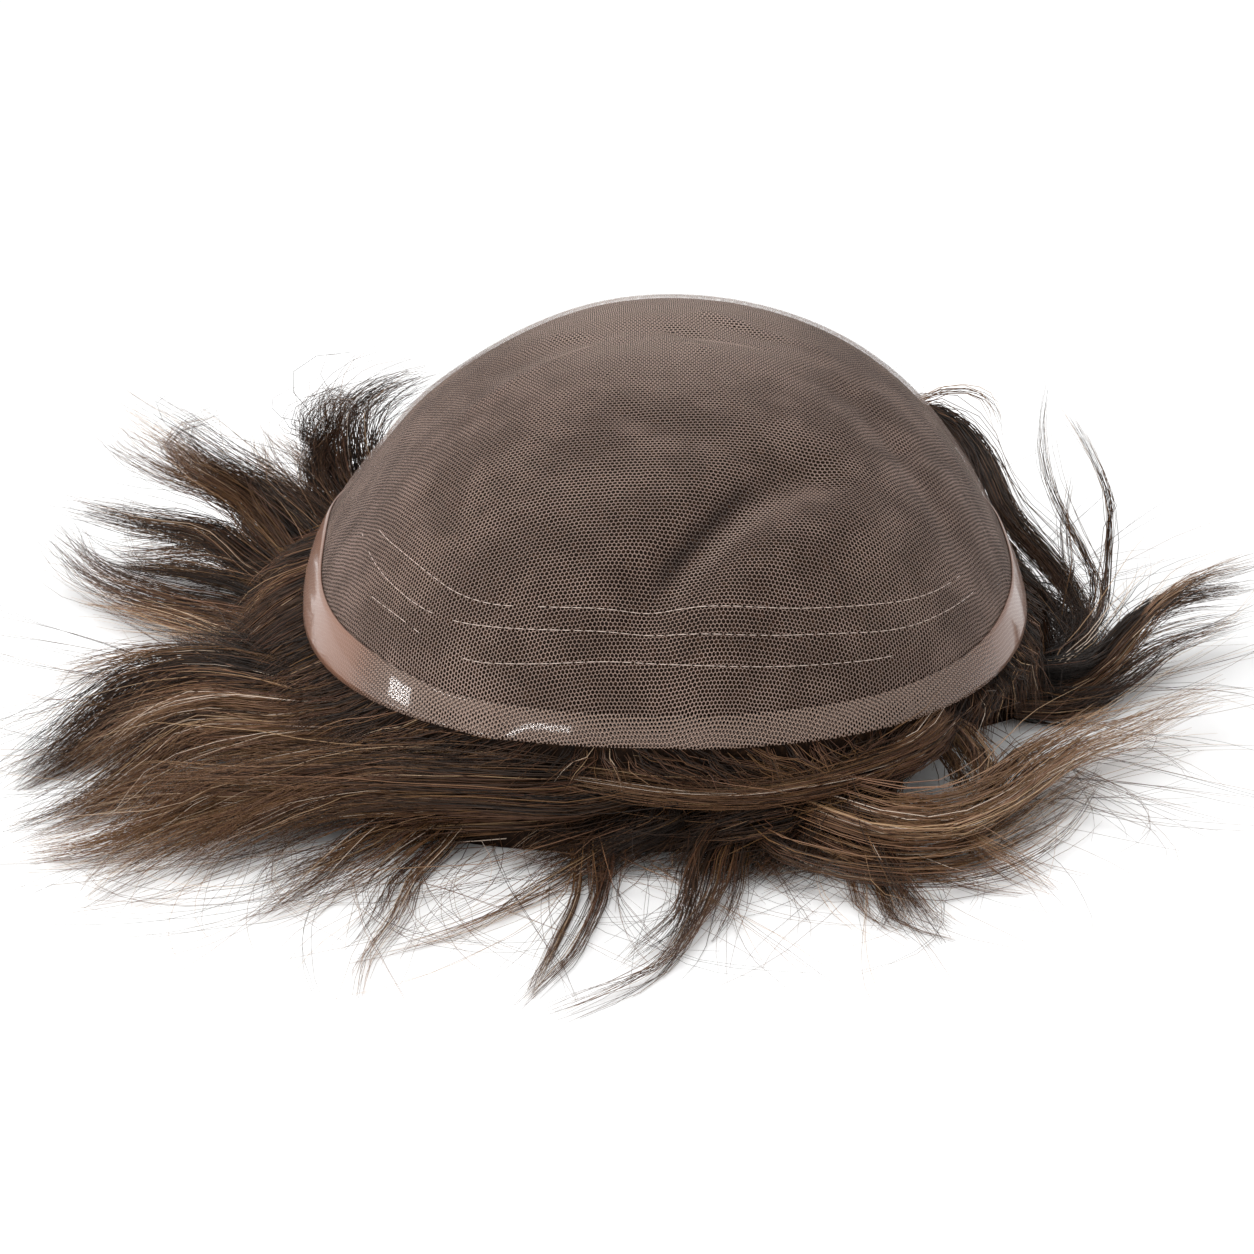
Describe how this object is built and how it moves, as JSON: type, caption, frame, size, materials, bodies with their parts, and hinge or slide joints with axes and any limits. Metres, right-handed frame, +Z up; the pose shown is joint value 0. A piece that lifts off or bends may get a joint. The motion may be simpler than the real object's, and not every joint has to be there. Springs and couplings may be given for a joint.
{
  "type": "toupee hairpiece",
  "caption": "Toupee lying inside out: a domed lace net base with a clear coated border strip stands on its dark hair, which fans out over the surface in locks.",
  "frame": {"origin": "middle of the footprint, on the surface that the hairpiece lies on", "axes": "+Z up, the scalp side of the lace up; -Y towards the front hairline; +X to the right when looking along +Y"},
  "size_m": [0.2802, 0.3226, 0.0768],
  "materials": {
    "lace": "fine hexagonal net of brown thread, matt",
    "skin": "thin clear coating on beige net, glossy",
    "hair": "dark brown hair, silky"
  },
  "bodies": {
    "root": {"lace_dome": "lace", "skin_border": "skin", "hair": "hair"}
  },
  "joints": []
}
